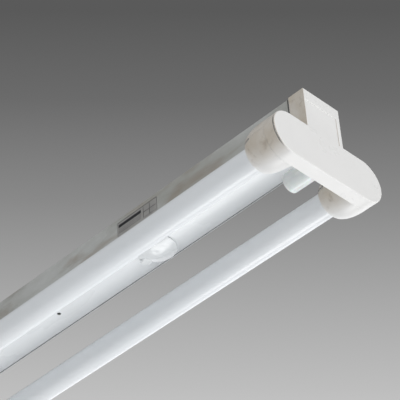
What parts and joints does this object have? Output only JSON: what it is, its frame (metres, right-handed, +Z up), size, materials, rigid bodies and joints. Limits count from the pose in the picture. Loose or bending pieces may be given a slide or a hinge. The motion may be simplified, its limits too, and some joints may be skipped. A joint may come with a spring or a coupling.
{
  "type": "twin tube shop light",
  "caption": "Ceiling batten light with a white steel channel, paired fluorescent tubes in moulded end lampholders, starters and a drop-down gear tray on turn knobs.",
  "frame": {"origin": "middle of the channel's back, on the face that lies against the ceiling, at mid-length", "axes": "+X along the light towards end a, the end in the picture; +Y to the right-hand tube as seen from end a looking up; +Z up to the ceiling"},
  "size_m": [1.2418, 0.1484, 0.0969],
  "materials": {
    "white_enamel": "semi-gloss stove enamel",
    "white_moulding": "moulded, satin to gloss",
    "socket_moulding": "moulded",
    "tube_glass": "phosphor-coated glass, glossy",
    "lamp_cap_aluminium": "drawn aluminium",
    "brass": "bright brass",
    "spring_bronze": "phosphor bronze strip",
    "zinc_steel": "zinc plated",
    "black_steel": "blackened",
    "core_steel": "stacked laminations, varnished",
    "winding": "taped and varnished copper winding",
    "capacitor_body": "moulded can",
    "terminal_body": "moulded",
    "wire_insulation": "PVC insulation",
    "rubber": "moulded rubber",
    "label_foil": "printed foil, no text",
    "starter_can": "translucent polycarbonate",
    "starter_base": "moulded base",
    "bulb_glass": "clear glass",
    "electrode": "nickel wire on a glass stem"
  },
  "bodies": {
    "channel": {"channel": "white_enamel", "latch_bridges": "white_enamel", "latch_spring_a": "zinc_steel", "latch_spring_b": "zinc_steel", "end_cap_a": "white_moulding", "end_cap_b": "white_moulding", "wing_cover_a": "white_moulding", "wing_cover_b": "white_moulding", "lampholder_a": "white_moulding", "lampholder_b": "white_moulding", "lamp_contacts": "spring_bronze", "starter_socket_a": "socket_moulding", "starter_socket_b": "socket_moulding", "starter_contacts": "spring_bronze", "cap_screws": "zinc_steel", "cable_grommet": "rubber", "earth_screw": "brass", "rating_label": "label_foil", "loom_sockets": "socket_moulding", "lamp_wires": "wire_insulation"},
    "tray": {"gear_tray": "white_enamel", "ballast_core_a": "core_steel", "ballast_core_b": "core_steel", "ballast_winding_a": "winding", "ballast_winding_b": "winding", "ballast_screws": "black_steel", "capacitor": "capacitor_body", "capacitor_clip": "zinc_steel", "terminal_block": "terminal_body", "terminal_screws": "zinc_steel", "loom_plugs": "socket_moulding", "tray_wires": "wire_insulation"},
    "knob_a": {"knob_a": "white_moulding", "knob_stud_a": "zinc_steel", "knob_retainer_a": "zinc_steel"},
    "knob_b": {"knob_b": "white_moulding", "knob_stud_b": "zinc_steel", "knob_retainer_b": "zinc_steel"},
    "cups_left": {"lamp_cup_left_a": "white_moulding", "lamp_cup_left_b": "white_moulding"},
    "cups_right": {"lamp_cup_right_a": "white_moulding", "lamp_cup_right_b": "white_moulding"},
    "lamp_left": {"lamp_left_tube": "tube_glass", "lamp_left_end_caps": "lamp_cap_aluminium", "lamp_left_pins": "brass", "lamp_left_electrodes": "electrode", "lamp_left_rotors": "socket_moulding"},
    "lamp_right": {"lamp_right_tube": "tube_glass", "lamp_right_end_caps": "lamp_cap_aluminium", "lamp_right_pins": "brass", "lamp_right_electrodes": "electrode", "lamp_right_rotors": "socket_moulding"},
    "starter_a": {"starter_can_a": "starter_can", "starter_base_a": "starter_base", "starter_pins_a": "brass", "starter_bulb_a": "bulb_glass"},
    "starter_b": {"starter_can_b": "starter_can", "starter_base_b": "starter_base", "starter_pins_b": "brass", "starter_bulb_b": "bulb_glass"}
  },
  "joints": [
    {"name": "tray_drop", "type": "slide", "parent": "channel", "child": "tray", "axis": [0, 0, -1], "range_m": [0, 0.15], "deforming": ["latch_spring_a", "latch_spring_b"]},
    {"name": "knob_a_turn", "type": "hinge", "parent": "tray", "child": "knob_a", "pos_m": [0.392, 0, -0.042], "axis": [0, 0, 1], "range_deg": [0, 90]},
    {"name": "knob_b_turn", "type": "hinge", "parent": "tray", "child": "knob_b", "pos_m": [-0.392, 0, -0.042], "axis": [0, 0, 1], "range_deg": [0, 90]},
    {"name": "lamp_left_release", "type": "slide", "parent": "channel", "child": "cups_left", "axis": [0, 0, -1], "range_m": [0, 0.12]},
    {"name": "lamp_right_release", "type": "slide", "parent": "channel", "child": "cups_right", "axis": [0, 0, -1], "range_m": [0, 0.12]},
    {"name": "lamp_left_turn", "type": "hinge", "parent": "cups_left", "child": "lamp_left", "pos_m": [0, -0.0496, -0.0726], "axis": [1, 0, 0], "range_deg": [0, 90]},
    {"name": "lamp_right_turn", "type": "hinge", "parent": "cups_right", "child": "lamp_right", "pos_m": [0, 0.0496, -0.0726], "axis": [1, 0, 0], "range_deg": [0, 90]},
    {"name": "starter_a_pull", "type": "slide", "parent": "channel", "child": "starter_a", "axis": [-1, 0, 0], "range_m": [0, 0.045]},
    {"name": "starter_b_pull", "type": "slide", "parent": "channel", "child": "starter_b", "axis": [1, 0, 0], "range_m": [0, 0.045]}
  ]
}
